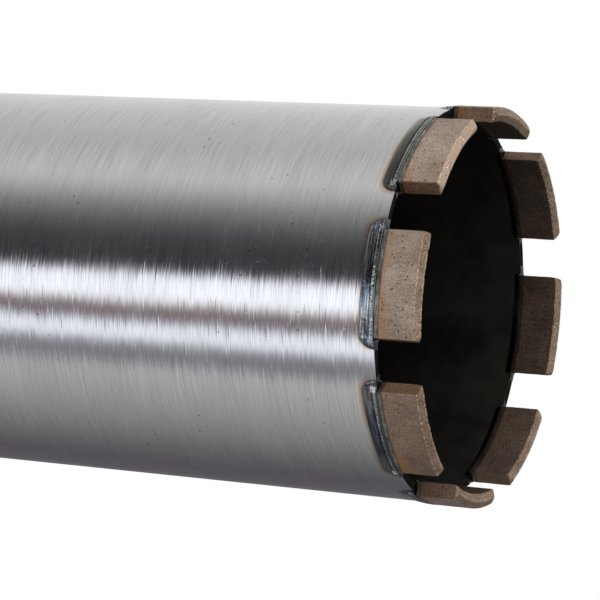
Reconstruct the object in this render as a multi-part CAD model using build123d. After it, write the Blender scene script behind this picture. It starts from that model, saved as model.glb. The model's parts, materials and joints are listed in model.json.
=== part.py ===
"""Diamond core bit, 92 mm, laser welded, with a 1-1/4"-7 UNC hub.

Millimetres.  +Z runs along the bit's axis.  The origin is the centre of the hub's flat mouth, on
which the bit stands, and the cutting end is at the top.  The tube is closed at its foot by a welded
end plate that carries the threaded hub, and its rim carries the sintered segments, each on its own
laser weld.
"""
from math import radians, sqrt, tan
import os

from build123d import *

# cutting ring
CUTTING_DIAMETER = 92.0        # over the outer faces of the segments
SEGMENT_COUNT = 8
SEGMENT_WIDTH = 24.0           # straight across, between the parallel side faces
SEGMENT_THICKNESS = 3.5        # radial
SEGMENT_HEIGHT = 10.6          # from the weld to the ridge of the crest
SEGMENT_ROOF_RISE = 1.2        # the crest is a roof: its ridge stands this far over both shoulders
SEGMENT_RIDGE_IN = 1.8         # the ridge's distance from the outer face
SEGMENT_CORNER_ROUND = 0.9     # crest corners, seen from outside

# barrel
OUTSIDE_STEP = 0.5             # the segments stand this far out of the tube
TUBE_WALL = 2.0
BARREL_LENGTH = 355.0          # back edge of the tube to its rim
TUBE_FOOT_CHAMFER = 0.4

# laser welds between the tube and the segments
WELD_WEB = 0.5                 # depth of fused metal between the tube's edge and the segment's foot
WELD_CAP_WIDTH = 3.6           # fused band on the outside of the tube, from the joint
WELD_RIDGE_WIDTH = 1.1         # raised seam beside the segment, its crown level with the segment's face
WELD_RIDGE_HEIGHT = 0.15       # and how far the ridge stands over the metal on each side of it
WELD_ROOT_WIDTH = 1.6          # sloping bead on the inside of the tube
WELD_OVERRUN = 2.2             # how far the weld runs past each side of its segment
WELD_END_ROUND = 2.9

# end plate and its weld to the tube
PLATE_THICKNESS = 10.0
PLATE_FIT = 0.05               # radial clearance in the tube
RIM_GROOVE = 3.0               # bevel of the plate's lower edge, filled by the weld
RIM_WELD_CROWN = 0.8           # how far that weld stands out of the groove

# threaded hub
HUB_ACROSS_FLATS = 41.0
HUB_HEX_LENGTH = 27.0          # mouth face to collar
HUB_HEX_CHAMFER = 1.6          # turned chamfer on the hexagon's corners, measured along the axis
HUB_CHAMFER_ANGLE = 30.0
HUB_COLLAR_DIAMETER = 50.0
HUB_COLLAR_LENGTH = 7.0
HUB_COLLAR_CHAMFER = 1.0
HUB_SPIGOT_DIAMETER = 38.0     # turned end that goes through the plate
HUB_SPIGOT_FIT = 0.05          # radial clearance in the plate
HUB_SPIGOT_PROUD = 1.5         # stands this far out of the plate, inside the barrel
HUB_WELD_LEG = 3.5             # fillet weld between the collar and the plate
HUB_WELD_CROWN = 0.5           # how far its middle stands over a straight slope, along and across

# 1-1/4"-7 UNC thread, left as a plain bore at its minor diameter
THREAD_DIAMETER = 31.75
THREAD_PITCH = 25.4 / 7
THREAD_FIT = 0.4               # the nut thread's crests are cut back this much on the diameter
MOUTH_RECESS_FIT = 1.25        # plain recess in the mouth, over the thread's diameter
MOUTH_RECESS_DEPTH = 4.0
THREAD_LEAD = 1.2              # 45 degree lead at both ends of the thread

# worked out from the sizes above
SEGMENT_OUTER_R = CUTTING_DIAMETER / 2
SEGMENT_INNER_R = SEGMENT_OUTER_R - SEGMENT_THICKNESS
TUBE_OUTER_R = SEGMENT_OUTER_R - OUTSIDE_STEP
TUBE_INNER_R = TUBE_OUTER_R - TUBE_WALL
PLATE_R = TUBE_INNER_R - PLATE_FIT
HUB_COLLAR_R = HUB_COLLAR_DIAMETER / 2
HUB_SPIGOT_R = HUB_SPIGOT_DIAMETER / 2
PLATE_HOLE_R = HUB_SPIGOT_R + HUB_SPIGOT_FIT
THREAD_BORE_R = (THREAD_DIAMETER - 1.25 * sqrt(3) / 2 * THREAD_PITCH + THREAD_FIT) / 2
MOUTH_RECESS_R = (THREAD_DIAMETER + MOUTH_RECESS_FIT) / 2

BACK_Z = HUB_HEX_LENGTH + HUB_COLLAR_LENGTH        # back edge of the tube and face of the plate
PLATE_TOP_Z = BACK_Z + PLATE_THICKNESS
HUB_TOP_Z = PLATE_TOP_Z + HUB_SPIGOT_PROUD
JOINT_Z = BACK_Z + BARREL_LENGTH                   # rim of the tube and foot of the segments
PITCH_ANGLE = 360 / SEGMENT_COUNT


def turned(profile, sweep=360.0):
    """Revolve a closed profile, drawn as radius and height in the XZ plane, about the axis."""
    return revolve(Plane.XZ * profile, axis=Axis.Z, revolution_arc=sweep)


def plan_block(outline):
    """A block that has the outline when looked at from +X, reaching out from the axis."""
    return extrude(Plane.YZ * outline, amount=CUTTING_DIAMETER)


def in_place(solid, number):
    """Turn a piece made on +X to its numbered place round the ring."""
    return Rot(0, 0, (number - 1) * PITCH_ANGLE) * solid


def segment():
    """One sintered segment on +X: curved faces, parallel sides and a crest shaped like a roof."""
    ridge_z = JOINT_Z + SEGMENT_HEIGHT
    shoulder_z = ridge_z - SEGMENT_ROOF_RISE
    with BuildSketch() as profile:
        with BuildLine():
            Polyline(
                (SEGMENT_INNER_R, JOINT_Z),
                (SEGMENT_OUTER_R, JOINT_Z),
                (SEGMENT_OUTER_R, shoulder_z),
                (SEGMENT_OUTER_R - SEGMENT_RIDGE_IN, ridge_z),
                (SEGMENT_INNER_R, shoulder_z),
                close=True,
            )
        make_face()
    ring = turned(profile.sketch)
    with BuildSketch() as outline:
        with Locations((0, JOINT_Z + SEGMENT_HEIGHT / 2)):
            Rectangle(SEGMENT_WIDTH, SEGMENT_HEIGHT)
        fillet(outline.vertices().group_by(Axis.Y)[-1], SEGMENT_CORNER_ROUND)
    return ring & plan_block(outline.sketch)


def segment_weld():
    """One laser weld on +X: a fused band and ridge outside, a thin web, and a root bead inside."""
    cap_edge = (TUBE_OUTER_R, JOINT_Z - WELD_CAP_WIDTH)
    ridge_foot = (SEGMENT_OUTER_R - WELD_RIDGE_HEIGHT, JOINT_Z - WELD_RIDGE_WIDTH)
    ridge_crown = (SEGMENT_OUTER_R, JOINT_Z - WELD_RIDGE_WIDTH / 2)
    ridge_end = (SEGMENT_OUTER_R - WELD_RIDGE_HEIGHT, JOINT_Z)
    root_end = (SEGMENT_INNER_R, JOINT_Z)
    root_edge = (TUBE_INNER_R, JOINT_Z - WELD_ROOT_WIDTH)
    with BuildSketch() as profile:
        with BuildLine():
            Polyline(
                cap_edge,
                ridge_foot,
                ridge_crown,
                ridge_end,
                root_end,
                root_edge,
                (TUBE_INNER_R, JOINT_Z - WELD_WEB),
                (TUBE_OUTER_R, JOINT_Z - WELD_WEB),
                close=True,
            )
        make_face()
    ring = turned(profile.sketch)
    with BuildSketch() as outline:
        with Locations((0, JOINT_Z - WELD_CAP_WIDTH / 2)):
            Rectangle(SEGMENT_WIDTH + 2 * WELD_OVERRUN, WELD_CAP_WIDTH)
        fillet(outline.vertices().group_by(Axis.Y)[0], min(WELD_END_ROUND, 0.95 * WELD_CAP_WIDTH))
    return ring & plan_block(outline.sketch)


def barrel_tube(welds):
    """The steel tube, notched at its rim where each weld has fused its edge."""
    with BuildSketch() as profile:
        with Locations(((TUBE_INNER_R + TUBE_OUTER_R) / 2, (BACK_Z + JOINT_Z) / 2)):
            Rectangle(TUBE_WALL, BARREL_LENGTH)
        foot = profile.vertices().group_by(Axis.Y)[0].sort_by(Axis.X)[-1]
        chamfer(foot, TUBE_FOOT_CHAMFER)
    return turned(profile.sketch) - welds


def end_plate():
    """The disc in the tube's foot: bevelled below for its weld, bored for the hub's spigot."""
    with BuildSketch() as profile:
        with BuildLine():
            Polyline(
                (PLATE_HOLE_R, BACK_Z),
                (PLATE_R - RIM_GROOVE, BACK_Z),
                (PLATE_R, BACK_Z + RIM_GROOVE),
                (PLATE_R, PLATE_TOP_Z),
                (PLATE_HOLE_R, PLATE_TOP_Z),
                close=True,
            )
        make_face()
    return turned(profile.sketch)


def rim_weld():
    """The weld ring that fills the groove between the plate's bevel and the tube."""
    groove_in = (PLATE_R - RIM_GROOVE, BACK_Z)
    groove_out = (TUBE_INNER_R, BACK_Z)
    crown = ((groove_in[0] + groove_out[0]) / 2, BACK_Z - RIM_WELD_CROWN)
    with BuildSketch() as profile:
        with BuildLine():
            Polyline(
                groove_in,
                crown,
                groove_out,
                (TUBE_INNER_R, BACK_Z + RIM_GROOVE),
                (PLATE_R, BACK_Z + RIM_GROOVE),
                close=True,
            )
        make_face()
    return turned(profile.sketch)


def threaded_hub():
    """The hub: a chamfered hexagon, a round collar on the plate, a spigot through it, and the bore."""
    hexagon = extrude(RegularPolygon(HUB_ACROSS_FLATS / 2, 6, major_radius=False), HUB_HEX_LENGTH)
    corner_r = HUB_ACROSS_FLATS / sqrt(3)
    face_r = corner_r - HUB_HEX_CHAMFER / tan(radians(HUB_CHAMFER_ANGLE))
    with BuildSketch() as turning:
        with BuildLine():
            Polyline(
                (0, 0),
                (face_r, 0),
                (corner_r, HUB_HEX_CHAMFER),
                (corner_r, HUB_HEX_LENGTH),
                (0, HUB_HEX_LENGTH),
                close=True,
            )
        make_face()
    with BuildSketch() as back:
        with BuildLine():
            Polyline(
                (0, HUB_HEX_LENGTH),
                (HUB_COLLAR_R - HUB_COLLAR_CHAMFER, HUB_HEX_LENGTH),
                (HUB_COLLAR_R, HUB_HEX_LENGTH + HUB_COLLAR_CHAMFER),
                (HUB_COLLAR_R, BACK_Z),
                (HUB_SPIGOT_R, BACK_Z),
                (HUB_SPIGOT_R, HUB_TOP_Z),
                (0, HUB_TOP_Z),
                close=True,
            )
        make_face()
    with BuildSketch() as bore:
        with BuildLine():
            Polyline(
                (0, 0),
                (MOUTH_RECESS_R, 0),
                (MOUTH_RECESS_R, MOUTH_RECESS_DEPTH),
                (THREAD_BORE_R + THREAD_LEAD, MOUTH_RECESS_DEPTH),
                (THREAD_BORE_R, MOUTH_RECESS_DEPTH + THREAD_LEAD),
                (THREAD_BORE_R, HUB_TOP_Z - THREAD_LEAD),
                (THREAD_BORE_R + THREAD_LEAD, HUB_TOP_Z),
                (0, HUB_TOP_Z),
                close=True,
            )
        make_face()
    return (hexagon & turned(turning.sketch)) + turned(back.sketch) - turned(bore.sketch)


def hub_weld():
    """The fillet weld ring in the corner between the hub's collar and the plate."""
    leg_down = (HUB_COLLAR_R, BACK_Z - HUB_WELD_LEG)
    leg_out = (HUB_COLLAR_R + HUB_WELD_LEG, BACK_Z)
    crown = HUB_WELD_LEG / 2 + HUB_WELD_CROWN
    with BuildSketch() as profile:
        with BuildLine():
            Polyline(
                leg_down,
                (HUB_COLLAR_R + crown, BACK_Z - crown),
                leg_out,
                (HUB_COLLAR_R, BACK_Z),
                close=True,
            )
        make_face()
    return turned(profile.sketch)


def save(solid, name):
    export_step(solid, f"parts/{name}.step")


def main():
    os.makedirs("parts", exist_ok=True)
    numbers = range(1, SEGMENT_COUNT + 1)
    welds = [in_place(segment_weld(), number) for number in numbers]
    for number, weld in zip(numbers, welds):
        save(in_place(segment(), number), f"segment_{number}")
        save(weld, f"segment_weld_{number}")
    save(barrel_tube(welds), "barrel_tube")
    save(end_plate(), "end_plate")
    save(rim_weld(), "rim_weld")
    save(threaded_hub(), "threaded_hub")
    save(hub_weld(), "hub_weld")


main()
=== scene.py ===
"""Looks of a laser welded diamond core bit: a brushed steel barrel, eight sintered segments on tinted
welds, and a welded end plate with a threaded hub.  Lengths are in metres and the bit's axis is +Z."""
import json
from cmath import phase
from math import atan2, cos, exp, hypot, pi, radians, sin, sqrt, tan
from random import Random

import bmesh
import bpy
from mathutils import Matrix, Vector, noise


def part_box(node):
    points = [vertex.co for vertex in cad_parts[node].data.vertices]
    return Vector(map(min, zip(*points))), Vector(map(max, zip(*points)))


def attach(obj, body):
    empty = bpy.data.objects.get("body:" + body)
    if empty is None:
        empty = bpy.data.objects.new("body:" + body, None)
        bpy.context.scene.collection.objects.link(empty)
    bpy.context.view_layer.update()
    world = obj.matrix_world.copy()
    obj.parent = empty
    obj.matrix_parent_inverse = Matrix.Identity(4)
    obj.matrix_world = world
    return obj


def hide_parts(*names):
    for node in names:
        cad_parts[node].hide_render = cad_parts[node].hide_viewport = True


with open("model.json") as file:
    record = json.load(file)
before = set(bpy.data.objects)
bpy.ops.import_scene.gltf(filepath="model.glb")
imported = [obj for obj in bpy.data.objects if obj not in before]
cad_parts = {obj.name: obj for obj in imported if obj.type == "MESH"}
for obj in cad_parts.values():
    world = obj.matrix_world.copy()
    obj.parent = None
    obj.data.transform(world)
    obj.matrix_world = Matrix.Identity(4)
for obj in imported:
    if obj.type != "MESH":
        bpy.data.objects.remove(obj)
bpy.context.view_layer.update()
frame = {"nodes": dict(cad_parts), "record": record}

MM = 0.001


def corners_of(name):
    """A node's corners as complex (r + z i) numbers."""
    return [complex(hypot(v.co.x, v.co.y), v.co.z) for v in frame["nodes"][name].data.vertices]


def node_radii(name):
    """The least and greatest distance of a node's corners from the axis."""
    radii = [corner.real for corner in corners_of(name)]
    return min(radii), max(radii)


def read_crest():
    """The ridge's radius and the shoulder's height above the rim, read from the first segment."""
    corners = corners_of("segment_1")
    ridge = [corner.real for corner in corners if corner.imag > CREST_Z - 0.01 * MM]
    shoulder = max(corner.imag for corner in corners if corner.real > CREST_R_OUT - 0.01 * MM)
    return sum(ridge) / len(ridge), shoulder - RIM_Z


# sizes read from the frame
SEGMENTS = sum(1 for name in frame["nodes"] if name.startswith("segment_") and "weld" not in name)
PITCH = 2 * pi / SEGMENTS
BORE_R, TUBE_R = node_radii("barrel_tube")
CREST_R_IN, CREST_R_OUT = node_radii("segment_1")
BACK_Z, RIM_Z = (corner.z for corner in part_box("barrel_tube"))
CREST_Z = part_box("segment_1")[1].z
CREST = CREST_Z - RIM_Z
RIDGE_R, SHOULDER = read_crest()
SEGMENT_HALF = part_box("segment_1")[1].y
WELD_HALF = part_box("segment_weld_1")[1].y
WELD_BAND = RIM_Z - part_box("segment_weld_1")[0].z
HUB_TOP_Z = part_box("threaded_hub")[1].z
PLATE_TOP_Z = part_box("end_plate")[1].z

# places on the cutting end that the frame doesn't give, in millimetres over the rim
FOOT_TOP = 1.0
SEAM_UP = -0.8
BALL_UP = -0.9
CREVICE_UP = -1.28


# ---------------------------------------------------------------- shader expressions
class Level:
    """A number that varies over a surface.  Sums and products of levels add their own maths nodes."""

    def __init__(self, shade, socket):
        self.shade, self.socket = shade, socket

    def maths(self, operation, *others):
        values = dict(enumerate((self,) + others))
        return self.shade.node("Math", {"operation": operation}, values)

    def __add__(self, other):
        return self.maths("ADD", other)

    def __sub__(self, other):
        return self.maths("SUBTRACT", other)

    def __rsub__(self, other):
        return self.shade.node("Math", {"operation": "SUBTRACT"}, {0: other, 1: self})

    def __mul__(self, other):
        return self.maths("MULTIPLY", other)

    def __truediv__(self, other):
        return self.maths("DIVIDE", other)

    def __pow__(self, other):
        return self.maths("POWER", other)

    def __abs__(self):
        return self.maths("ABSOLUTE")

    __radd__ = __add__
    __rmul__ = __mul__

    def least(self, other):
        return self.maths("MINIMUM", other)

    def most(self, other):
        return self.maths("MAXIMUM", other)

    def rise(self, start, end):
        """0 before start and 1 after end, with a smooth rise between them."""
        settings = {"interpolation_type": "SMOOTHSTEP"}
        return self.shade.node("MapRange", settings, {"Value": self, "From Min": start, "From Max": end})

    def band(self, middle, half, soft):
        """1 within half of the middle, fading to 0 over the soft width on each side."""
        return 1 - abs(self - middle).rise(half, half + soft)


class Shade:
    """A material, or the world, and its nodes."""

    def __init__(self, owner):
        owner.use_nodes = True
        self.owner, self.tree = owner, owner.node_tree
        self.tree.nodes.clear()

    def node(self, kind, settings=None, values=None, out=0):
        """Adds a node, makes its settings, then fills its sockets, and gives back one output."""
        made = self.tree.nodes.new("ShaderNode" + kind)
        for name, setting in (settings or {}).items():
            if name == "stops":
                self.fill_ramp(made.color_ramp, setting)
            else:
                setattr(made, name, setting)
        for name, value in (values or {}).items():
            if isinstance(value, Level):
                self.tree.links.new(value.socket, made.inputs[name])
            else:
                made.inputs[name].default_value = value
        return Level(self, made.outputs[out]) if made.outputs else None

    @staticmethod
    def fill_ramp(ramp, stops):
        """Gives a ramp its stops, all places before all colours, because a moved stop is sorted anew."""
        while len(ramp.elements) < len(stops):
            ramp.elements.new(1.0)
        for element, (place, colour) in zip(ramp.elements, stops):
            element.position = place
        for element, (place, colour) in zip(ramp.elements, stops):
            element.color = (*colour, 1.0)

    def mix(self, factor, first, second, blend="MIX"):
        """A blend of two colours."""
        settings = {"data_type": "RGBA", "blend_type": blend, "clamp_factor": True}
        values = {0: factor, 6: paint(first), 7: paint(second)}
        return self.node("Mix", settings, values, out=2)

    def ramp(self, level, stops):
        """The colour that a level has on a ramp of (place, colour) stops."""
        return self.node("ValToRGB", {"stops": stops}, {0: level})

    def grain(self, place, scale, detail=2.0, roughness=0.5):
        """Soft noise from 0 to 1, about 0.5 on average, whose lumps are about 1 / scale wide."""
        values = {"Vector": place, "Scale": scale, "Detail": detail, "Roughness": roughness}
        return self.node("TexNoise", None, values)

    def drawn_grain(self, x, y, z, share, scale, detail=2.0):
        """Grain pulled out round the axis into lines: x and y count for a share of z."""
        return self.grain(self.vector(x * share, y * share, z), scale, detail, 0.6)

    def cells(self, place, scale, feature="F1"):
        """Distance to the nearest of a scatter of points, or to the edge between two of them."""
        return self.node("TexVoronoi", {"feature": feature}, {"Vector": place, "Scale": scale})

    def point(self):
        """The point on the object."""
        return self.node("TexCoord", out=3)

    def place(self):
        """The point on the object, and its x, y and z as levels."""
        point = self.point()
        axes = self.node("SeparateXYZ", None, {0: point}).socket.node.outputs
        return point, *(Level(self, axis) for axis in axes)

    def vector(self, x, y, z):
        return self.node("CombineXYZ", None, {0: x, 1: y, 2: z})

    def surface(self, varying, **steady):
        """A Principled surface: steady values sit on its sockets, varying ones are linked."""
        values = {name.replace("_", " ").title(): value for name, value in steady.items()}
        values.update(varying)
        return self.node("BsdfPrincipled", None, values)

    def finish(self, surface):
        """Links the surface to the output, and gives back the material or world."""
        kind = "OutputMaterial" if isinstance(self.owner, bpy.types.Material) else "OutputWorld"
        self.node(kind, None, {0: surface})
        return self.owner

    def bump(self, height, distance, strength=1.0, normal=None):
        """The surface's normal, or another one, dented by a height."""
        values = {"Height": height, "Distance": distance, "Strength": strength}
        if normal:
            values["Normal"] = normal
        return self.node("Bump", None, values)

    def leaning_normal(self, x, y, radius, tilt):
        """The surface's normal, leant by a small tilt round the axis."""
        round_way = self.vector(y * -1 / radius, x / radius, 0.0)
        lean = self.node("VectorMath", {"operation": "SCALE"}, {0: round_way, "Scale": tilt})
        plain = self.node("NewGeometry", out=1)
        leant = self.node("VectorMath", {"operation": "ADD"}, {0: plain, 1: lean})
        return self.node("VectorMath", {"operation": "NORMALIZE"}, {0: leant})


def paint(colour):
    """A colour for a socket, from three numbers or a link."""
    return colour if isinstance(colour, Level) else (*colour, 1.0)


def new_shade(name):
    """A new material to add nodes to."""
    return Shade(bpy.data.materials.new(name))


def srgb(red, green, blue):
    """A colour from its everyday 0 to 255 values."""
    def linear(value):
        value /= 255
        return value / 12.92 if value <= 0.04045 else ((value + 0.055) / 1.055) ** 2.4
    return linear(red), linear(green), linear(blue)


def from_axis(x, y):
    """A point's distance from the axis."""
    return (x * x + y * y) ** 0.5


def toward(x, y, number, start, end):
    """How far points lie towards a segment's middle: 0 up to start, 1 from end, in tube radii."""
    turn = (number - 1) * PITCH
    return (x * cos(turn) + y * sin(turn)).rise(start * TUBE_R, end * TUBE_R)


def round_the_axis(shade):
    """The point, its x, y and z, its distance from the axis and from its segment's middle plane."""
    point, x, y, z = shade.place()
    radius = from_axis(x, y)
    turn = y.maths("ARCTAN2", x) / PITCH + 0.5
    along = ((turn - turn.maths("FLOOR") - 0.5) * PITCH).maths("SINE") * radius
    return point, x, y, z, radius, along


# ---------------------------------------------------------------- finishes
WELD_END_ROUND = 2.9 * MM


def past_weld(along, up):
    """Distance from the edge of the fused band on the tube, negative inside it."""
    aside = (abs(along) - (WELD_HALF - WELD_END_ROUND)).most(0.0) / WELD_END_ROUND
    below = up / WELD_BAND
    return ((aside * aside + below * below) ** 0.5 - 1) * WELD_BAND


def brushed_tube():
    """Steel brushed round the tube, with scratches and specks, tinted by the welds, and painted dark inside
    as shade.
    """
    shade = new_shade("brushed_tube")
    point, x, y, z, radius, along = round_the_axis(shade)
    fine = shade.drawn_grain(x, y, z, 0.014, 6500)
    coarse = shade.drawn_grain(x, y, z + (x - y) * 0.012, 0.03, 2300, 3)
    broad = shade.grain(shade.vector(x * 0.2, y * 0.2, z), 160)
    cloud = shade.grain(point, 45, 3, 0.6)
    lines = fine * 0.7 + coarse * 0.18 + broad * 0.12
    # grey steel in lines, with dark specks and straw heat tints beside the welds
    steel = shade.ramp(lines, [
        (0.3, (0.45, 0.445, 0.45)), (0.5, (0.60, 0.595, 0.60)), (0.7, (0.74, 0.74, 0.75))])
    specks = 1 - shade.cells(point, 330).rise(0.06, 0.12)
    specks = specks * shade.grain(point, 60, 2).rise(0.5, 0.6)
    spotted = shade.mix(specks * 0.6, steel, (0.09, 0.085, 0.08))
    spread = 0.6 + cloud.rise(0.35, 0.65) * 1.1
    away = past_weld(along, z - RIM_Z) / spread
    tint = shade.ramp(away / MM, [
        (0.0, srgb(146, 118, 104)), (0.12, srgb(200, 174, 148)), (0.35, srgb(234, 218, 194)),
        (0.7, srgb(244, 234, 220)), (1.0, srgb(255, 255, 255))])
    tinted = shade.mix(0.25 + 0.75 * broad.rise(0.4, 0.65), spotted, tint, "MULTIPLY")
    # the bore painted near-black as its shade, and the rim's dark cut face
    inside = 1 - radius.rise(BORE_R + 0.05 * MM, BORE_R + 0.25 * MM)
    bore_shade_grain = shade.grain(point, 130, 3, 0.6)
    dark = shade.ramp(bore_shade_grain, [(0.35, (0.012, 0.011, 0.009)), (0.7, (0.027, 0.024, 0.020))])
    rim_face = z.rise(RIM_Z - 0.08 * MM, RIM_Z - 0.03 * MM)
    rim = rim_face * (1 - radius.rise(TUBE_R - 0.2 * MM, TUBE_R - 0.1 * MM))
    edged = shade.mix(rim, tinted, (0.006, 0.005, 0.004))
    colour = shade.mix(inside, edged, dark)
    # short scratches
    wiggle = (shade.grain(point, 420, 1) - 0.5) * 1.5 * MM
    strokes = shade.vector(x + wiggle, y + wiggle, z + wiggle)
    scratch = 1 - shade.cells(strokes, 420, "DISTANCE_TO_EDGE").rise(0.006, 0.03)
    scratch = scratch * shade.grain(point, 520, 1).rise(0.64, 0.78)
    roughness = 0.16 + 0.08 * fine + 0.10 * cloud.rise(0.45, 0.8) + 0.14 * scratch
    roughness = (roughness + inside * 0.33 + rim * 0.6).least(1.0)
    metal = (1 - inside * 0.6 - rim).most(0.0)
    # each brushed line leans the surface a little, and a few stray ones more
    stray = shade.drawn_grain(x, y, z, 0.04, 3100) - 0.5
    tilt = (fine - 0.5) * 0.10 + (coarse - 0.5) * 0.03 + (broad - 0.5) * 0.02 + stray * stray * stray * 4
    normal = shade.leaning_normal(x, y, radius, tilt * (1 - inside))
    dented = shade.bump(scratch * -0.4 + fine * 0.2, 0.03 * MM, 0.4, normal)
    return shade.finish(shade.surface(
        {"Base Color": colour, "Roughness": roughness, "Normal": dented, "Metallic": metal,
         "Specular IOR Level": 0.12},
        anisotropic=0.9, anisotropic_rotation=0.25))


def sintered_segment():
    """Diamond-bearing metal: a grey foot, heat colours above it, pores, a fresh crest, a dark skin with
    painted shade inside.
    """
    shade = new_shade("sintered_segment")
    point, x, y, z, radius, along = round_the_axis(shade)
    up = (z - RIM_Z) / MM
    shoulder = SHOULDER / MM
    wander = shade.grain(point, 520) - 0.5
    cloud = shade.grain(point, 170, 3, 0.55)
    blotch = shade.grain(point, 60, 1)
    speck = shade.grain(point, 3400, 2, 0.7)
    drawn = shade.grain(shade.vector(x, y, z * 0.12), 2200, 2, 0.6)
    texture = cloud * 0.25 + speck * 0.62 + drawn * 0.13
    plain = shade.ramp(texture, [
        (0.36, srgb(97, 83, 73)), (0.5, srgb(135, 119, 107)), (0.64, srgb(170, 154, 141))])
    # painted shade: the segment turned away from the lamp is darker
    darker = toward(x, y, 2, 0.8485, 0.9546)
    body = shade.mix(darker, plain, (0.82, 0.73, 0.66), "MULTIPLY")
    # brown heat colours above the foot, and stains
    lower = shade.grain(point, 95).rise(0.42, 0.62)
    ends = abs(along).rise(0.5 * SEGMENT_HALF, 0.95 * SEGMENT_HALF)
    late = along.rise(0.1 * SEGMENT_HALF, 0.85 * SEGMENT_HALF)
    reach = FOOT_TOP + 0.8 + 1.2 * lower + 3.0 * late
    heat = 1 - (up + 2.0 * (cloud - 0.5)).rise(FOOT_TOP + 0.1, reach)
    heat = heat * (0.17 + 0.43 * lower + 0.33 * late)
    warm = shade.mix(heat, body, srgb(146, 102, 56))
    stain = blotch.rise(0.5, 0.62) * 0.3 + ends * lower * 0.3
    stained = shade.mix(stain, warm, srgb(112, 90, 72))
    # the grey foot, and the violet line along its top
    ground = shade.drawn_grain(x, y, z, 0.15, 2400) * 0.5 + shade.grain(point, 420, 3, 0.6) * 0.5
    foot = shade.ramp(ground, [
        (0.36, srgb(66, 66, 62)), (0.5, srgb(110, 109, 102)), (0.64, srgb(152, 154, 148))])
    foot_line = up + 0.18 * wander
    above_foot = foot_line.rise(FOOT_TOP - 0.02, FOOT_TOP + 0.1)
    layered = shade.mix(above_foot, foot, stained)
    edge_line = foot_line.band(FOOT_TOP + 0.12, 0.08, 0.1)
    coloured = shade.mix(edge_line * 0.75, layered, srgb(62, 46, 66))
    # the fresh metal of the crest, with painted light making it paler on the segment turned to the lamp
    crest = (up + wander * 0.5).rise(shoulder - 0.15, shoulder + 0.1)
    fresh = shade.ramp(texture, [
        (0.38, srgb(92, 74, 59)), (0.5, srgb(129, 107, 88)), (0.62, srgb(172, 147, 124))])
    lit = toward(x, y, 8, 0.8485, 0.9546)
    crest_with_painted_light = shade.mix(lit * 0.33, fresh, srgb(238, 208, 184))
    crested = shade.mix(crest, coloured, crest_with_painted_light)
    # the inner face, dark with its oxide skin and with painted shade, painted less dark on one segment, and
    # the brown ends
    inner = 1 - (radius / MM + wander * 0.2).rise(CREST_R_IN / MM + 0.22, CREST_R_IN / MM + 0.45)
    inner = inner * (1 - (up + wander * 0.7).rise(shoulder - 0.2, shoulder + 0.05))
    skin_and_painted_shade = shade.ramp(texture, [(0.40, srgb(28, 22, 18)), (0.62, srgb(76, 60, 48))])
    less_shaded_segment = toward(x, y, 4, 0.8273, 0.8839)
    lined = shade.mix(inner * (0.95 - 0.12 * less_shaded_segment), crested, skin_and_painted_shade)
    side = abs(along).rise(SEGMENT_HALF - 0.3 * MM, SEGMENT_HALF - 0.15 * MM) * (1 - inner)
    faced = shade.mix(side, lined, (0.48, 0.39, 0.31), "MULTIPLY")
    # pores painted dark as their shade, painted glints on the grit, and the ridge and shoulder lighter with
    # wear and painted highlights, most on the segment turned to the lamp
    pores = 1 - shade.cells(point, 920).rise(0.17, 0.23)
    rare = shade.grain(point, 260, 2).rise(0.43, 0.5)
    low = 1 - crest * 0.4 - darker * 0.4
    pore_shade = pores * rare * low * up.rise(FOOT_TOP + 0.2, FOOT_TOP + 0.7)
    with_pore_shade = shade.mix(pore_shade * 0.8, faced, srgb(30, 22, 20))
    glint = (1 - shade.cells(point, 1000).rise(0.13, 0.2)) * shade.grain(point, 240, 1).rise(0.46, 0.54)
    glint = glint * crest
    ridge = (up + wander * 0.3).rise(CREST / MM - 0.4, CREST / MM - 0.18) * (1 - side)
    worn = (up + wander * 0.25).band(shoulder, 0.05, 0.1)
    worn = worn * radius.rise(CREST_R_OUT - 0.4 * MM, CREST_R_OUT - 0.2 * MM)
    bright = (ridge * 0.35).most(worn * speck.rise(0.4, 0.6) * (0.4 + 0.3 * lit))
    wear_and_edge_highlights = shade.mix(bright, with_pore_shade, srgb(226, 204, 176))
    with_painted_glints = shade.mix(glint * (1 - side) * (0.35 + 0.6 * lit), wear_and_edge_highlights, srgb(255, 248, 240))
    normal = shade.bump(speck + cloud * 0.5 - pores * rare * 1.5, 0.06 * MM, 0.4)
    roughness = 0.46 + 0.22 * speck - 0.2 * glint - 0.14 * (1 - above_foot)
    return shade.finish(shade.surface(
        {"Base Color": with_painted_glints, "Roughness": roughness, "Normal": normal, "Specular IOR Level": 0.3,
         "Metallic": 0.1 + 0.6 * (1 - above_foot)}))


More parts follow.
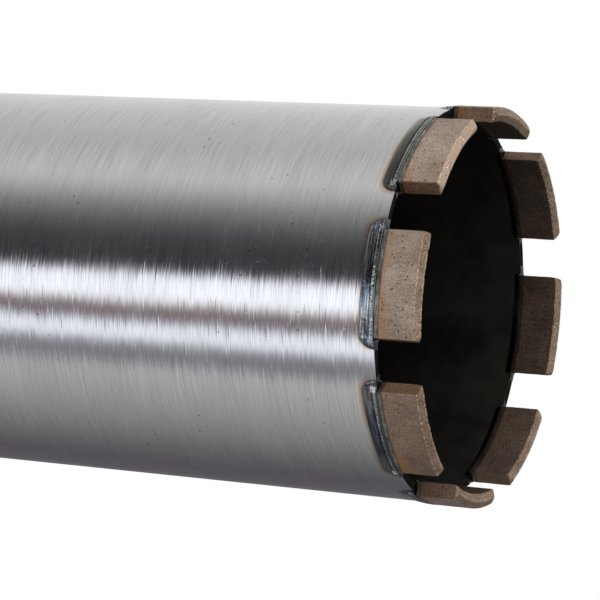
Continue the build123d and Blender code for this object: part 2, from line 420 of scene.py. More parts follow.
def fused_weld():
    """Fused steel: a blue and brown tinted cap with drawn lines, and a bright gritty seam."""
    shade = new_shade("fused_weld")
    point, x, y, z, radius, along = round_the_axis(shade)
    up = (z - RIM_Z) / MM
    over = (radius - TUBE_R) / MM
    away = past_weld(along, z - RIM_Z) / MM
    streak = shade.drawn_grain(x, y, z, 0.06, 2600)
    grit = shade.grain(point, 3600, 2, 0.7)
    patch = shade.grain(shade.vector(x, y, z * 0.4), 110)
    # the cap: tinted in patches, with a painted reflection making the first weld paler, and browner on one
    # side of the bit
    tints = shade.ramp(patch * 0.5 + streak * 0.5, [
        (0.36, srgb(48, 47, 44)), (0.43, srgb(38, 48, 62)), (0.5, srgb(72, 84, 98)),
        (0.56, srgb(120, 126, 116)), (0.64, srgb(92, 76, 72))])
    pale = shade.ramp(streak * 0.7 + patch * 0.3, [
        (0.38, srgb(44, 60, 84)), (0.5, srgb(108, 124, 136)), (0.6, srgb(222, 226, 214))])
    painted_reflection_weld = toward(x, y, 1, 0.95, 0.975)
    varied = shade.mix(painted_reflection_weld * 0.8, tints, pale)
    browner = toward(x, y, 7, 0.4, 0.55)
    browned = shade.mix(browner * 0.85, varied, srgb(38, 36, 29))
    edge = shade.mix(1 - (-1 * away).rise(0.05, 0.4), browned, srgb(74, 56, 74))
    # the bright seam, and droplets of silver metal painted near-white as highlights
    under_segment = 1 - abs(along).rise(SEGMENT_HALF, SEGMENT_HALF + 0.7 * MM)
    seam = up.band(SEAM_UP, 0.13, 0.18) * under_segment
    ball = abs(along).rise(SEGMENT_HALF - 0.9 * MM, SEGMENT_HALF - 0.3 * MM)
    ball = ball * (1 - abs(along).rise(SEGMENT_HALF + 0.7 * MM, SEGMENT_HALF + 1.1 * MM))
    ball = ball * up.band(BALL_UP, 0.45, 0.3)
    seam = seam.most(ball * patch.rise(0.4, 0.48))
    seam = seam.most(over.rise(0.39, 0.43) * (1 - up.rise(-0.4, -0.3)))
    seam = seam * (0.45 + 0.55 * shade.grain(point, 85).rise(0.42, 0.58))
    silver_and_droplet_highlight = shade.ramp(grit, [(0.42, srgb(44, 48, 55)), (0.61, srgb(226, 231, 238))])
    silver_and_droplet_highlight = shade.mix(ball * 0.75, silver_and_droplet_highlight, srgb(236, 240, 246))
    # painted shade in the crevice beside the cap, the grey edge under the segment and the blue root inside
    crevice = up.band(CREVICE_UP, 0.07, 0.12) * under_segment
    shadowed = shade.mix(crevice * 0.9, edge, srgb(16, 17, 20))
    base = shade.mix(up.rise(-0.42, -0.25) * over.rise(0.2, 0.3), shadowed, srgb(104, 104, 94))
    colour = shade.mix(seam, base, silver_and_droplet_highlight)
    root = 1 - over.rise(-0.45, -0.15)
    rooted = shade.mix(root, colour, srgb(26, 28, 36))
    normal = shade.bump(streak * (1 - seam) * 0.4 + grit * seam * 1.6, 0.07 * MM, 0.6)
    roughness = 0.10 + 0.12 * streak + 0.08 * seam + 0.2 * root
    return shade.finish(shade.surface(
        {"Base Color": rooted, "Roughness": roughness, "Normal": normal}, metallic=1.0,
        coat_weight=0.6, coat_roughness=0.1))


def turned_steel():
    """Steel with the fine rings of a lathe tool, in patches of grey."""
    shade = new_shade("turned_steel")
    point, x, y, z = shade.place()
    radius = from_axis(x, y)
    rings = shade.grain(shade.vector(radius, radius, z * 0.3), 5000)
    patch = shade.grain(point, 90)
    colour = shade.ramp(rings * 0.5 + patch * 0.5, [(0.3, (0.34, 0.33, 0.32)), (0.7, (0.56, 0.55, 0.54))])
    normal = shade.bump(rings, 0.03 * MM, 0.3)
    return shade.finish(shade.surface(
        {"Base Color": colour, "Roughness": 0.3 + 0.15 * patch, "Normal": normal}, metallic=1.0))


def arc_weld():
    """Frozen weld metal, grey with darker scale."""
    shade = new_shade("arc_weld")
    patch = shade.grain(shade.point(), 300, 3, 0.6)
    colour = shade.ramp(patch, [(0.3, (0.20, 0.18, 0.17)), (0.7, (0.46, 0.45, 0.44))])
    normal = shade.bump(patch, 0.1 * MM, 0.4)
    return shade.finish(shade.surface(
        {"Base Color": colour, "Roughness": 0.35 + 0.2 * patch, "Normal": normal}, metallic=1.0))


FINISH = {
    "tube_steel": brushed_tube(),
    "sintered_metal": sintered_segment(),
    "laser_weld": fused_weld(),
    "turned_steel": turned_steel(),
    "arc_weld": arc_weld(),
}
for entry in frame["record"]["subparts"]:
    mesh = frame["nodes"][entry["node"]].data
    mesh.materials.clear()
    mesh.materials.append(FINISH[entry["material_slot"]])
    mesh.shade_smooth()


# ---------------------------------------------------------------- meshes
def piece(name, rows, slot, *nodes, closed=False, sharp=None, extra=()):
    """Skins rows of points, each row closed on itself, and puts the piece in place of CAD nodes.

    The last row joins the first when closed, and otherwise each end row is filled to its middle.
    Extra is a list of (points, faces) that belong to the same piece.
    """
    wide = len(rows[0])
    points = [point for row in rows for point in row]
    faces = []
    for i in range(len(rows) if closed else len(rows) - 1):
        near, far = i * wide, (i + 1) % len(rows) * wide
        for j in range(wide):
            k = (j + 1) % wide
            faces.append((near + j, near + k, far + k, far + j))
    if not closed:
        for start in (0, (len(rows) - 1) * wide):
            points.append(sum((points[start + j] for j in range(wide)), Vector()) / wide)
            faces += [(start + j, start + (j + 1) % wide, len(points) - 1) for j in range(wide)]
    for more_points, more_faces in extra:
        faces += [tuple(len(points) + j for j in face) for face in more_faces]
        points += more_points
    mesh = bpy.data.meshes.new(name)
    mesh.from_pydata(points, [], faces)
    skin = bmesh.new()
    skin.from_mesh(mesh)
    bmesh.ops.recalc_face_normals(skin, faces=skin.faces)
    skin.to_mesh(mesh)
    skin.free()
    mesh.materials.append(FINISH[slot])
    mesh.shade_smooth()
    if sharp:
        mesh.set_sharp_from_angle(angle=radians(sharp))
    made = bpy.data.objects.new(name, mesh)
    bpy.context.collection.objects.link(made)
    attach(made, "root")
    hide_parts(*nodes)


def rounded_outline(corners, radius, gap):
    """Points about a gap apart round a closed outline of complex (r + z i) corners, with rounded corners.

    Each point comes with its outward normal and its distance from the nearest rounded corner.
    """
    afters = corners[1:] + corners[:1]
    ways = [(after - corner) / abs(after - corner) for corner, after in zip(corners, afters)]
    turns = [phase(ways[i] / ways[i - 1]) for i in range(len(corners))]
    trims = [radius * tan(turn / 2) for turn in turns]
    outline = []
    for i, corner in enumerate(corners):
        ahead, after = ways[i], (i + 1) % len(corners)
        middle = corner - ways[i - 1] * trims[i] + ways[i - 1] * 1j * radius
        steps = max(3, round(radius * turns[i] / gap))
        for k in range(steps + 1):
            normal = -1j * ways[i - 1] * rotation(turns[i] * k / steps)
            outline.append((middle + radius * normal, normal, 0.0))
        run = abs(corners[after] - corner) - trims[i] - trims[after]
        steps = max(2, round(run / gap))
        for k in range(1, steps):
            spot = corner + ahead * (trims[i] + run * k / steps)
            outline.append((spot, -1j * ahead, run * min(k, steps - k) / steps))
    return outline


def rotation(angle):
    """A step of 1 at an angle, as a complex number."""
    return complex(cos(angle), sin(angle))


def smooth(value, start, end):
    """0 before start and 1 after end, with a smooth rise between them."""
    t = min(1.0, max(0.0, (value - start) / (end - start)))
    return t * t * (3 - 2 * t)


def rough(point, scale, seed=0.0):
    """Soft noise from -1 to 1 whose lumps are about as wide as the scale."""
    return noise.noise(point / scale + Vector((seed, 3 * seed, 7 * seed)))


def on_ring(number, radius, aside, up):
    """A point of segment number's place, at a distance from the axis and aside from its middle."""
    turn = (number - 1) * PITCH
    out = sqrt(radius * radius - aside * aside)
    return Vector((out * cos(turn) - aside * sin(turn), out * sin(turn) + aside * cos(turn), RIM_Z + up))


# ---------------------------------------------------------------- segments
SEGMENT_EDGE = 0.38 * MM
SEGMENT_CORNER = 1.6 * MM
TOP_BEND = 0.3 * MM
MESH_GAP = 0.19 * MM


def segment_top(aside):
    """How high a segment reaches, which falls off round the ends of its crest."""
    past = max(0.0, abs(aside) - (SEGMENT_HALF - SEGMENT_CORNER))
    return CREST - SEGMENT_CORNER + sqrt(max(0.0, SEGMENT_CORNER ** 2 - past ** 2))


def segment_stations():
    """Sections across a segment: each one's place aside, its inset, how far it has turned, its size."""
    reach = SEGMENT_HALF - SEGMENT_EDGE
    count = round(2 * reach / MESH_GAP)
    flats = [(reach * (2 * k / count - 1), 0.0, 0.0, 1.0) for k in range(count + 1)]
    angles = [radians(22.5 * k) for k in range(1, 5)]
    rounds = [(reach + SEGMENT_EDGE * sin(a), SEGMENT_EDGE * (1 - cos(a)), a, 1.0) for a in angles]
    caps = [(SEGMENT_HALF, SEGMENT_EDGE, pi / 2, size) for size in (0.9, 0.78, 0.64, 0.48, 0.3, 0.12)]
    end = rounds + caps
    start = [(-aside, inset, -angle, size) for aside, inset, angle, size in reversed(end)]
    return start + flats + end


def worn_depth(here, away, size, up):
    """How far a segment's surface is sunk by its cast skin, and by wear near its edges."""
    skin = 0.045 * (1 + rough(here, 1.9 * MM)) + 0.022 * (1 + rough(here, 0.45 * MM))
    edge = exp(-away / (0.35 * MM)) * size
    wear = edge * max(0.0, rough(here, 0.8 * MM, 5.0) - 0.12) * 0.55
    return (skin + wear) * MM * smooth(up, 0.1 * MM, 0.7 * MM)


def segment(number):
    """A sintered segment: a roof-shaped crest, softly rounded edges, a cast skin and worn ridges."""
    corners = [complex(CREST_R_IN, 0), complex(CREST_R_OUT, 0), complex(CREST_R_OUT, SHOULDER),
               complex(RIDGE_R, CREST), complex(CREST_R_IN, SHOULDER)]
    outline = rounded_outline(corners, SEGMENT_EDGE, MESH_GAP)
    middle = complex((CREST_R_IN + CREST_R_OUT) / 2, CREST / 2)
    rows = []
    for aside, inset, turned, size in segment_stations():
        row = []
        top = segment_top(aside) - inset
        for spot, normal, away in outline:
            spot = middle + (spot - normal * inset - middle) * size
            if spot.imag > top - TOP_BEND:
                spot = complex(spot.real, top - TOP_BEND * exp((top - TOP_BEND - spot.imag) / TOP_BEND))
            sink = worn_depth(on_ring(number, spot.real, aside, spot.imag), away, size, spot.imag)
            spot -= normal * cos(turned) * sink
            row.append(on_ring(number, spot.real, aside - sin(turned) * sink, spot.imag))
        rows.append(row)
    piece(f"sintered_segment_{number}", rows, "sintered_metal", f"segment_{number}")


# ---------------------------------------------------------------- laser welds
# sections of a weld as (height over the tube, height over the rim) in millimetres: across a segment's
# foot, and past the segment's end, where the fused metal only rounds off the tube's rim; they are drawn
# with a band of 3.6 mm, whose cap is the part below CAP_TOP
FOOT_SECTION = [
    (-0.30, -3.45), (0.0, -3.6), (0.13, -3.3), (0.25, -2.7), (0.33, -1.95), (0.36, -1.55), (0.16, -1.30),
    (0.36, -1.08), (0.46, -0.80), (0.40, -0.52), (0.35, -0.36), (0.46, -0.12), (0.485, 0.0), (-0.3, 0.0),
    (-1.5, 0.0), (-2.85, 0.0), (-2.97, -0.12), (-2.75, -0.5), (-2.35, -0.95), (-2.0, -1.6), (-1.75, -1.3)]
END_SECTION = [
    (-0.30, -3.45), (0.0, -3.6), (0.10, -3.3), (0.19, -2.7), (0.25, -1.9), (0.27, -1.45), (0.27, -1.2),
    (0.27, -0.95), (0.26, -0.7), (0.24, -0.45), (0.20, -0.25), (0.12, -0.06), (-0.02, 0.03), (-0.4, 0.07),
    (-1.0, 0.08), (-1.6, 0.07), (-1.92, 0.02), (-2.05, -0.08), (-2.07, -0.22), (-2.02, -0.4), (-1.8, -0.3)]
SECTION_BAND = 3.6
CAP_TOP = -1.6
SECTION_STEPS = 3
STATION_GAP = 0.12
# the droplets at each end of a weld, as (distance past the segment, height over the rim, radius) in
# millimetres, and the number of smaller ones along it
END_DROPLETS = [(0.15, -0.75, 0.52), (0.55, -1.15, 0.34), (-0.5, -1.4, 0.22), (0.95, -0.5, 0.18)]
THROWN_DROPLETS = 5


def curve_point(before, start, end, after, t):
    """One coordinate of a smooth curve, at a share t of the way from start to end."""
    slope = end - before
    bend = 2 * before - 5 * start + 4 * end - after
    twist = 3 * start - before - 3 * end + after
    return 0.5 * (2 * start + slope * t + bend * t * t + twist * t ** 3)


def curve_through(points, steps):
    """A smooth closed curve through 2-D points, with a number of steps between each two."""
    count = len(points)
    curve = []
    for i in range(count):
        four = [points[(i + k) % count] for k in (-1, 0, 1, 2)]
        for step in range(steps):
            curve.append(tuple(curve_point(*places, step / steps) for places in zip(*four)))
    return curve


def droplet(centre, radius):
    """A small ball of frozen metal, a little flat towards the tube, as its points and faces."""
    ball = bmesh.new()
    bmesh.ops.create_icosphere(ball, subdivisions=3, radius=radius)
    outward = Vector((centre.x, centre.y, 0)).to_track_quat("Z", "Y").to_matrix()
    points = []
    for v in ball.verts:
        lump = v.co * (1 + 0.12 * rough(v.co + centre, radius * 0.9))
        points.append(centre + outward @ Vector((lump.x, lump.y, lump.z * 0.9)))
    faces = [tuple(v.index for v in face.verts) for face in ball.faces]
    ball.free()
    return points, faces


def weld_droplets(number):
    """The balls where the beam started and stopped, and a few smaller ones thrown beside the seam."""
    draw = Random(40 + number)
    drops = []
    for side in (-1, 1):
        for past, height, full in END_DROPLETS:
            aside = side * (SEGMENT_HALF / MM + past + draw.uniform(-0.12, 0.12))
            radius = full * draw.uniform(0.8, 1.1)
            up = height + draw.uniform(-0.15, 0.15)
            drops.append((aside, 0.48 - radius, up, radius))
    for _ in range(THROWN_DROPLETS):
        radius = draw.uniform(0.07, 0.13)
        drops.append((draw.uniform(-11.5, 11.5), 0.44 - radius, draw.uniform(-1.2, -0.4), radius))
    made = []
    for aside, over, up, radius in drops:
        centre = on_ring(number, TUBE_R + over * MM, aside * MM, up * MM)
        made.append(droplet(centre, radius * MM))
    return made


def weld_section(number, aside, blend):
    """A weld's plain section, in millimetres: blend goes from 0 under the segment to 1 past its end."""
    end_round = WELD_END_ROUND / MM
    past = max(0.0, abs(aside) - (WELD_HALF / MM - end_round)) / end_round
    shrink = sqrt(max(0.0, 1 - past * past))
    here = on_ring(number, TUBE_R, aside * MM, 0)
    wander = 0.09 * rough(here, 2.6 * MM, 9.0) * (1 - blend)
    band = shrink * (WELD_BAND / MM / SECTION_BAND) * (0.95 + 0.05 * rough(here, 3.2 * MM, 2.0))
    section = []
    for (over_foot, up_foot), (over_end, up_end) in zip(FOOT_SECTION, END_SECTION):
        over = over_foot + (over_end * (shrink if over_end > 0 else 1) - over_foot) * blend
        up = up_foot + (up_end - up_foot) * blend
        if up < CAP_TOP:
            start = CAP_TOP * max(shrink, 0.02) if blend > 0 else CAP_TOP
            up = start + (up - CAP_TOP) * band
        else:
            up *= 1 - blend + shrink * blend
        if CAP_TOP < up_foot < -0.2 and over_foot > 0:
            up += wander
        section.append((over, up))
    return section


def weld_row(number, aside):
    """One section of a weld with its surface: a rippled seam, drawn lines and a soft skin."""
    foot = SEGMENT_HALF / MM
    blend = smooth(abs(aside), foot - 0.1, foot + 0.75)
    lowest = (CREST_R_IN - TUBE_R) / MM + 0.01
    highest = (CREST_R_OUT - TUBE_R) / MM - 0.01
    row = []
    for over, up in curve_through(weld_section(number, aside, blend), SECTION_STEPS):
        spot = on_ring(number, TUBE_R + over * MM, aside * MM, up * MM)
        on_seam = exp(-((up - SEAM_UP) / 0.28) ** 2) * (1 - blend) * (over > 0)
        ripple = 0.085 * rough(spot, 0.55 * MM, 4.0) + 0.05 * rough(spot, 0.22 * MM, 6.0)
        lines = 0.016 * rough(Vector((0, aside * 0.02, up)), 0.2, number)
        skin = 0.012 * rough(spot, 0.7 * MM, 8.0)
        over += (ripple - 0.03) * on_seam + (lines + skin) * smooth(over, 0.02, 0.1)
        over = max(min(over, highest), lowest)
        row.append(on_ring(number, TUBE_R + over * MM, aside * MM, up * MM))
    return row


def laser_weld(number):
    """The fused metal of one segment: a tinted cap, a crevice, a gritty bright seam and an inner root."""
    half = WELD_HALF / MM - 0.02
    count = round(2 * half / STATION_GAP)
    rows = [weld_row(number, half * (2 * k / count - 1)) for k in range(count + 1)]
    piece(f"laser_weld_{number}", rows, "laser_weld", f"segment_weld_{number}", extra=weld_droplets(number))


# ---------------------------------------------------------------- turned pieces
def turned_piece(name, outline, steps, slot, node, lift, sharp=None):
    """A section of complex (r + z i) points swept round the axis; lift moves each of its points."""
    rows = []
    for i in range(steps):
        angle = 2 * pi * i / steps
        row = []
        for spot in outline:
            moved = lift(spot, angle)
            row.append(Vector((moved.real * cos(angle), moved.real * sin(angle), moved.imag)))
        rows.append(row)
    piece(name, rows, slot, node, closed=True, sharp=sharp)


TUBE_STEPS, TUBE_RINGS, RIM_FACE_RINGS = 768, 40, 8
RIM_EDGE, BACK_EDGE = 0.2 * MM, 0.4 * MM
RIM_DROPS = (0.5 * MM, 1 * MM, 2 * MM, 5 * MM)
NOTCH_DEPTH = 0.45 * MM


def rim_edge(radius, start):
    """The rim's broken edge: a quarter turn round a middle at a radius, from an angle in degrees."""
    middle = complex(radius, RIM_Z - RIM_EDGE)
    return [middle + RIM_EDGE * rotation(radians(start + 30 * k)) for k in range(4)]


def tube():
    """The barrel: a rolled and brushed tube whose rim is fused away a little under each weld."""
    inner, outer, length = BORE_R, TUBE_R, RIM_Z - BACK_Z
    outline = [complex(inner, BACK_Z), complex(outer - BACK_EDGE, BACK_Z)]
    outline += [complex(outer, BACK_Z + BACK_EDGE), complex(outer, BACK_Z + 1 * MM)]
    outline += [complex(outer, BACK_Z + length * k / TUBE_RINGS) for k in range(1, TUBE_RINGS)]
    outline += [complex(outer, RIM_Z - drop) for drop in reversed(RIM_DROPS)]
    outline += rim_edge(outer - RIM_EDGE, 0)
    across = [outer + (inner - outer) * k / RIM_FACE_RINGS for k in range(1, RIM_FACE_RINGS)]
    outline += [complex(radius, RIM_Z) for radius in across]
    outline += rim_edge(inner + RIM_EDGE, 90)
    outline += [complex(inner, RIM_Z - drop) for drop in RIM_DROPS]
    outline += [complex(inner, RIM_Z - length * k / TUBE_RINGS) for k in range(1, TUBE_RINGS)]

    def notch(spot, angle):
        aside = abs((angle / PITCH + 0.5) % 1 - 0.5) * PITCH * TUBE_R
        near = smooth(spot.imag, RIM_Z - 1.5 * MM, RIM_Z - 0.3 * MM)
        under = 1 - smooth(aside, WELD_HALF - 1.6 * MM, WELD_HALF - 0.6 * MM)
        return spot - 1j * NOTCH_DEPTH * near * under

    turned_piece("barrel_tube_brushed", outline, TUBE_STEPS, "tube_steel", "barrel_tube", notch, sharp=40)


HUB_STEPS = 240
HUB_CHAMFER, MOUTH_R = 1.6 * MM, 18.5 * MM
COLLAR_EDGE = 1.0 * MM
HEX_ONLY_Z = 20 * MM
RECESS_R, RECESS_DEPTH = 16.5 * MM, 4.0 * MM
THREAD_PITCH = 25.4 / 7 * MM
THREAD_ROOT_R = 31.75 / 2 * MM
THREAD_LEAD = 1.2 * MM
ROWS_PER_TURN = 14


def read_hub():
    """The hub's bore, spigot, collar and hexagon, with the hexagon's turn, read from its corners."""
    corners = corners_of("threaded_hub")
    bore = min(spot.real for spot in corners)
    spigot = max(spot.real for spot in corners if spot.imag > HUB_TOP_Z - 0.1 * MM)
    collar = max(spot.real for spot in corners)
    hexagon = [spot for spot in corners if spot.imag < HEX_ONLY_Z]
    across_corners = max(spot.real for spot in hexagon)
    hex_end = min(spot.imag for spot in corners if spot.real > across_corners + 0.2 * MM)
    widest = max(frame["nodes"]["threaded_hub"].data.vertices,
                 key=lambda v: hypot(v.co.x, v.co.y) if v.co.z < HEX_ONLY_Z else 0)
    return bore, spigot, collar, across_corners, hex_end, atan2(widest.co.y, widest.co.x)


MINOR_R, SPIGOT_R, COLLAR_R, HEX_R, HEX_END_Z, HEX_TURN = read_hub()


def thread_wall(angle, up):
    """The bore's radius at an angle and a height: right-hand turns that die out at both ends."""
    phase_up = (up / THREAD_PITCH - angle / (2 * pi)) % 1
    depth = smooth(abs(phase_up - 0.5), 0.06, 0.44)
    start = smooth(up, RECESS_DEPTH, RECESS_DEPTH + THREAD_LEAD)
    end = 1 - smooth(up, HUB_TOP_Z - THREAD_LEAD, HUB_TOP_Z - 0.2 * MM)
    turned = MINOR_R + (THREAD_ROOT_R - MINOR_R) * depth
    lead = max(RECESS_DEPTH + THREAD_LEAD - up, up - HUB_TOP_Z + THREAD_LEAD, 0.0)
    return max(turned * start * end + MINOR_R * (1 - start * end), MINOR_R + lead)


def hexagon_side(angle):
    """The hexagon's distance from the axis at an angle."""
    off = (angle - HEX_TURN + pi / 6) % (pi / 3) - pi / 6
    return HEX_R * cos(pi / 6) / cos(pi / 6 - abs(off))


def hub():
    """The hub: a chamfered hexagon, a collar, a spigot through the plate, and a threaded bore.

    A bore point is written with the radius 0 and a hexagon point with -1, until shaped places them.
    """
    recess = [complex(RECESS_R, up) for up in (0.0, 0.5 * MM, RECESS_DEPTH - 0.3 * MM)]
    recess.append(complex(RECESS_R - 0.3 * MM, RECESS_DEPTH))
    depth = HUB_TOP_Z - RECESS_DEPTH
    rows = round(depth / (THREAD_PITCH / ROWS_PER_TURN))
    bore = [complex(0, RECESS_DEPTH + depth * k / rows) for k in range(rows + 1)]
    outside = [complex(SPIGOT_R - 0.4 * MM, HUB_TOP_Z), complex(SPIGOT_R, HUB_TOP_Z - 0.4 * MM)]
    outside += [complex(SPIGOT_R, PLATE_TOP_Z), complex(SPIGOT_R, BACK_Z), complex(COLLAR_R, BACK_Z)]
    outside += [complex(COLLAR_R, BACK_Z - (BACK_Z - HEX_END_Z) * k / 8) for k in range(1, 7)]
    outside += [complex(COLLAR_R, HEX_END_Z + COLLAR_EDGE), complex(COLLAR_R - COLLAR_EDGE, HEX_END_Z)]
    outside.append(complex(HEX_R + 0.1 * MM, HEX_END_Z))
    hex_heights = [HEX_END_Z - k * 2 * MM for k in range(12)]
    chamfer_heights = [k * 0.1 * MM for k in range(36, -1, -1)]
    hex_rows = [complex(-1, up) for up in hex_heights + chamfer_heights]

    def shaped(spot, angle):
        if spot.real == 0:
            return complex(thread_wall(angle, spot.imag), spot.imag)
        if spot.real < 0:
            chamfer = HEX_R - (HUB_CHAMFER - spot.imag) / tan(radians(30))
            return complex(min(hexagon_side(angle), max(chamfer, MOUTH_R)), spot.imag)
        return spot

    face = [complex(17.2 * MM, 0.0), complex(RECESS_R + 0.25 * MM, 0.0)]
    outline = recess + bore + outside + hex_rows + face
    turned_piece("hub_turned", outline, HUB_STEPS, "turned_steel", "threaded_hub", shaped, sharp=32)


PLATE_STEPS = 180
PLATE_EDGE = 0.3 * MM
TOOL_MARK = 0.02 * MM


def plate():
    """The end plate, with broken edges and the faint rings that turning leaves."""
    corners = corners_of("end_plate")
    hole, outer = min(spot.real for spot in corners), max(spot.real for spot in corners)
    groove = outer - max(spot.real for spot in corners if spot.imag < BACK_Z + 0.1 * MM)
    face = [complex(hole + (outer - hole) * k / 30, PLATE_TOP_Z) for k in range(29, 0, -1)]
    back = [complex(hole + (outer - groove - hole) * k / 20, BACK_Z) for k in range(1, 20)]
    outline = [complex(outer - groove, BACK_Z), complex(outer, BACK_Z + groove)]
    outline += [complex(outer, PLATE_TOP_Z - PLATE_EDGE), complex(outer - PLATE_EDGE, PLATE_TOP_Z)] + face
    outline += [complex(hole + PLATE_EDGE, PLATE_TOP_Z), complex(hole, PLATE_TOP_Z - PLATE_EDGE)]
    outline += [complex(hole, BACK_Z)] + back

    def ringed(spot, angle):
        if spot.imag > PLATE_TOP_Z - 0.01 * MM:
            return spot - 1j * TOOL_MARK * (1 + sin(spot.real / MM * 9))
        return spot

    turned_piece("end_plate_turned", outline, PLATE_STEPS, "turned_steel", "end_plate", ringed, sharp=30)


BEAD_STEPS, CROWN_STEPS = 720, 22
RIPPLE_DEPTH, LUMP_DEPTH, BEAD_CLEARANCE = 0.16 * MM, 0.10 * MM, 0.06 * MM


def bead(name, node, left, crown, right, corners, ripple):
    """A welded ring: a rounded crown in overlapping ripples between its two toes."""
    outline = []
    for k in range(CROWN_STEPS + 1):
        t = k / CROWN_STEPS
        outline.append(((1 - t) * left + t * right) + (crown - (left + right) / 2) * (4 * t * (1 - t)))
    outline += corners
    middle = sum(corners) / len(corners)

    def rippled(spot, angle):
        if spot in corners:
            return spot
        share = abs(spot - left) / abs(right - left)
        swell = 4 * share * (1 - share)
        here = Vector((spot.real * cos(angle), spot.real * sin(angle), spot.imag))
        wave = (round(2 * pi * abs(left) / ripple) * angle / (2 * pi) + 0.45 * swell) % 1
        lift = RIPPLE_DEPTH * (wave ** 1.6 - 1) + LUMP_DEPTH * rough(here, 2.4 * MM) - BEAD_CLEARANCE
        return spot + (spot - middle) / abs(spot - middle) * lift * min(1.0, swell * 1.4)

    turned_piece(name, outline, BEAD_STEPS, "arc_weld", node, rippled)


def beads():
    """The two arc welds: the ring in the groove at the tube's foot, and the fillet round the hub."""
    rim = corners_of("rim_weld")
    low = min(rim, key=lambda spot: spot.imag)
    back = [spot for spot in rim if abs(spot.imag - BACK_Z) < 0.01 * MM]
    deep = [spot for spot in rim if spot.imag > BACK_Z + 1 * MM]
    bead("rim_bead", "rim_weld", min(back, key=abs), low, max(back, key=abs),
         [max(deep, key=abs), min(deep, key=abs)], 2.0 * MM)
    fillet = corners_of("hub_weld")
    toe_down = min(fillet, key=lambda spot: spot.imag)
    toe_out = max(fillet, key=lambda spot: spot.real)
    corner = complex(toe_down.real, toe_out.imag)
    crown = max(fillet, key=lambda spot: abs(spot - corner) if spot not in (toe_down, toe_out) else 0)
    bead("hub_bead", "hub_weld", toe_down, crown, toe_out, [corner], 1.8 * MM)


for number in range(1, SEGMENTS + 1):
    segment(number)
    laser_weld(number)
tube()
plate()
hub()
beads()


# ---------------------------------------------------------------- studio
def ray_levels(shade, *kinds):
    """1 for the named kinds of ray, and 0 for the rest."""
    rays = shade.node("LightPath").socket.node.outputs
    total = Level(shade, rays[f"Is {kinds[0]} Ray"])
    for kind in kinds[1:]:
        total = total.most(Level(shade, rays[f"Is {kind} Ray"]))
    return total


# the light that a matt surface gets from all round, and from the lamp when it faces it
AMBIENT = 0.46
KEY = 0.87


def studio_world():
    """White behind the bit, and a dimmer even light on it."""
    world = bpy.data.worlds.new("studio")
    bpy.context.scene.world = world
    shade = Shade(world)
    seen = ray_levels(shade, "Camera", "Glossy", "Transmission")
    strength = seen + (1 - seen) * AMBIENT
    shade.finish(shade.node("Background", None, {0: (1.0, 1.0, 1.0, 1.0), 1: strength}))


def floor():
    """A pale floor that keeps the bit's shadow and fades into the white behind it."""
    bpy.ops.mesh.primitive_circle_add(vertices=96, radius=3.0, fill_type="NGON")
    disc = bpy.context.object
    disc.name = "studio_floor"
    shade = new_shade("pale_floor")
    _, x, y, _ = shade.place()
    fade = from_axis(x, y).rise(0.13, 0.42)
    pale = shade.node("BsdfDiffuse", None, {0: (0.86, 0.86, 0.86, 1.0)})
    lift = shade.node("Emission", None, {0: (1.0, 1.0, 1.0, 1.0), 1: ray_levels(shade, "Camera")})
    lifted = shade.node("MixShader", None, {0: 0.5, 1: pale, 2: lift})
    clear = shade.node("BsdfTransparent")
    disc.data.materials.append(shade.finish(shade.node("MixShader", None, {0: fade, 1: lifted, 2: clear})))
    disc.visible_glossy = False


TENT_R = 0.5
TENT_GLOW = 2.0
WARM, COOL, PLAIN, VIOLET = (1.20, 0.91, 0.97), (0.95, 0.98, 1.06), (1.0, 0.99, 0.99), (0.98, 0.94, 1.06)
# the panels and gaps of the tent, by the angle round the axis from the camera's side, in degrees
TENT_PANELS = [
    (-180, 0.30, PLAIN), (-168, 0.95, PLAIN), (-132, 0.84, PLAIN), (-104, 0.72, PLAIN), (-88, 0.66, PLAIN),
    (-76, 0.74, PLAIN), (-64, 0.80, PLAIN), (-56, 0.60, PLAIN), (-46, 0.31, PLAIN), (-36, 0.15, PLAIN),
    (-27, 0.075, VIOLET), (-10.5, 0.045, VIOLET), (-8, 0.3, VIOLET), (-4.5, 1.5, COOL), (6.5, 1.65, COOL),
    (9, 1.1, PLAIN), (12.5, 0.26, WARM), (17.5, 0.20, WARM), (20, 0.4, COOL), (23.5, 1.35, COOL),
    (29.5, 1.45, COOL), (34, 0.5, COOL), (38, 0.26, COOL), (43, 0.32, COOL), (50, 0.64, PLAIN),
    (66, 0.52, PLAIN), (82, 0.38, PLAIN), (106, 0.20, PLAIN), (124, 0.13, VIOLET), (150, 0.14, VIOLET),
    (180, 0.30, PLAIN)]


def tent(camera_side):
    """A cylinder of light and dark panels round the bit, which only its polished metal sees."""
    bpy.ops.mesh.primitive_cylinder_add(vertices=128, radius=TENT_R, depth=2.6, end_fill_type="NOTHING",
                                        location=(0, 0, RIM_Z), rotation=(0, 0, camera_side))
    wall = bpy.context.object
    wall.name = "studio_tent"
    shade = new_shade("tent_panels")
    _, x, y, _ = shade.place()
    turn = y.maths("ARCTAN2", x) / (2 * pi) + 0.5
    stops = []
    for angle, level, tint in TENT_PANELS:
        stops.append(((angle + 180) / 360, [level * part / TENT_GLOW for part in tint]))
    glow = shade.ramp(turn, stops)
    wall.data.materials.append(shade.finish(shade.node("Emission", None, {0: glow, 1: TENT_GLOW})))
    wall.visible_camera = False
    wall.visible_diffuse = False
    wall.visible_shadow = False
    wall.visible_transmission = False


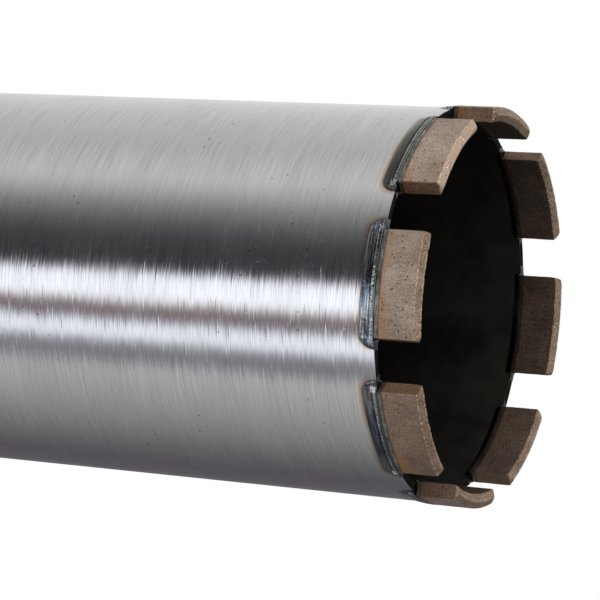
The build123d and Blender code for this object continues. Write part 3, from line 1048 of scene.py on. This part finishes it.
def lamp(name, way, distance, size, level):
    """A soft square lamp that only matt surfaces see; level is the light that a facing surface gets."""
    place = Vector((0, 0, RIM_Z)) + Vector(way).normalized() * distance
    light = bpy.data.lights.new(name, "AREA")
    light.size = size
    light.energy = level * pi * pi * distance ** 2
    lit = bpy.data.objects.new(name, light)
    bpy.context.collection.objects.link(lit)
    lit.location = place
    lit.rotation_euler = Vector(way).to_track_quat("Z", "Y").to_euler()
    lit.visible_camera = False
    lit.visible_glossy = False


# the camera looks down on the cutting end, rolled so that the bit lies across the frame
CAMERA_AZIMUTH = radians(4.7)
CAMERA_ELEVATION = radians(21.79)
CAMERA_ROLL = radians(3.92)
CAMERA_DISTANCE = 12.885 * TUBE_R
AIM_ASIDE = 0.0252 * TUBE_R
AIM_DROP = 0.8611 * TUBE_R
# half the frame's width and the lens's length, in pixels of a frame of 600, and the sensor's width in mm
HALF_FRAME, FOCAL_LENGTH = 300, 2541.2
SENSOR = 36


def camera():
    """The camera, aimed a little below the rim and rolled about its own view."""
    data = bpy.data.cameras.new("camera")
    data.sensor_width = SENSOR
    data.lens = SENSOR / 2 * FOCAL_LENGTH / HALF_FRAME
    holder = bpy.data.objects.new("camera", data)
    bpy.context.collection.objects.link(holder)
    bpy.context.scene.camera = holder
    near = Vector((cos(CAMERA_AZIMUTH), sin(CAMERA_AZIMUTH), 0))
    side = Vector((-sin(CAMERA_AZIMUTH), cos(CAMERA_AZIMUTH), 0))
    axis = Vector((0, 0, 1))
    eye = axis * RIM_Z + CAMERA_DISTANCE * (cos(CAMERA_ELEVATION) * near + sin(CAMERA_ELEVATION) * axis)
    aim = axis * (RIM_Z - AIM_DROP) + AIM_ASIDE * side
    ahead = (aim - eye).normalized()
    right = (axis - ahead * ahead.z).normalized()
    up = right.cross(ahead)
    rolled_right = cos(CAMERA_ROLL) * right + sin(CAMERA_ROLL) * up
    rolled_up = cos(CAMERA_ROLL) * up - sin(CAMERA_ROLL) * right
    turn = Matrix((rolled_right, rolled_up, -ahead)).transposed().to_4x4()
    holder.matrix_world = Matrix.Translation(eye) @ turn


bpy.context.scene.view_settings.view_transform = "Standard"
studio_world()
floor()
tent(CAMERA_AZIMUTH)
lamp("key_lamp", (0.82, -0.52, 0.16), 1.0, 0.55, KEY)
camera()
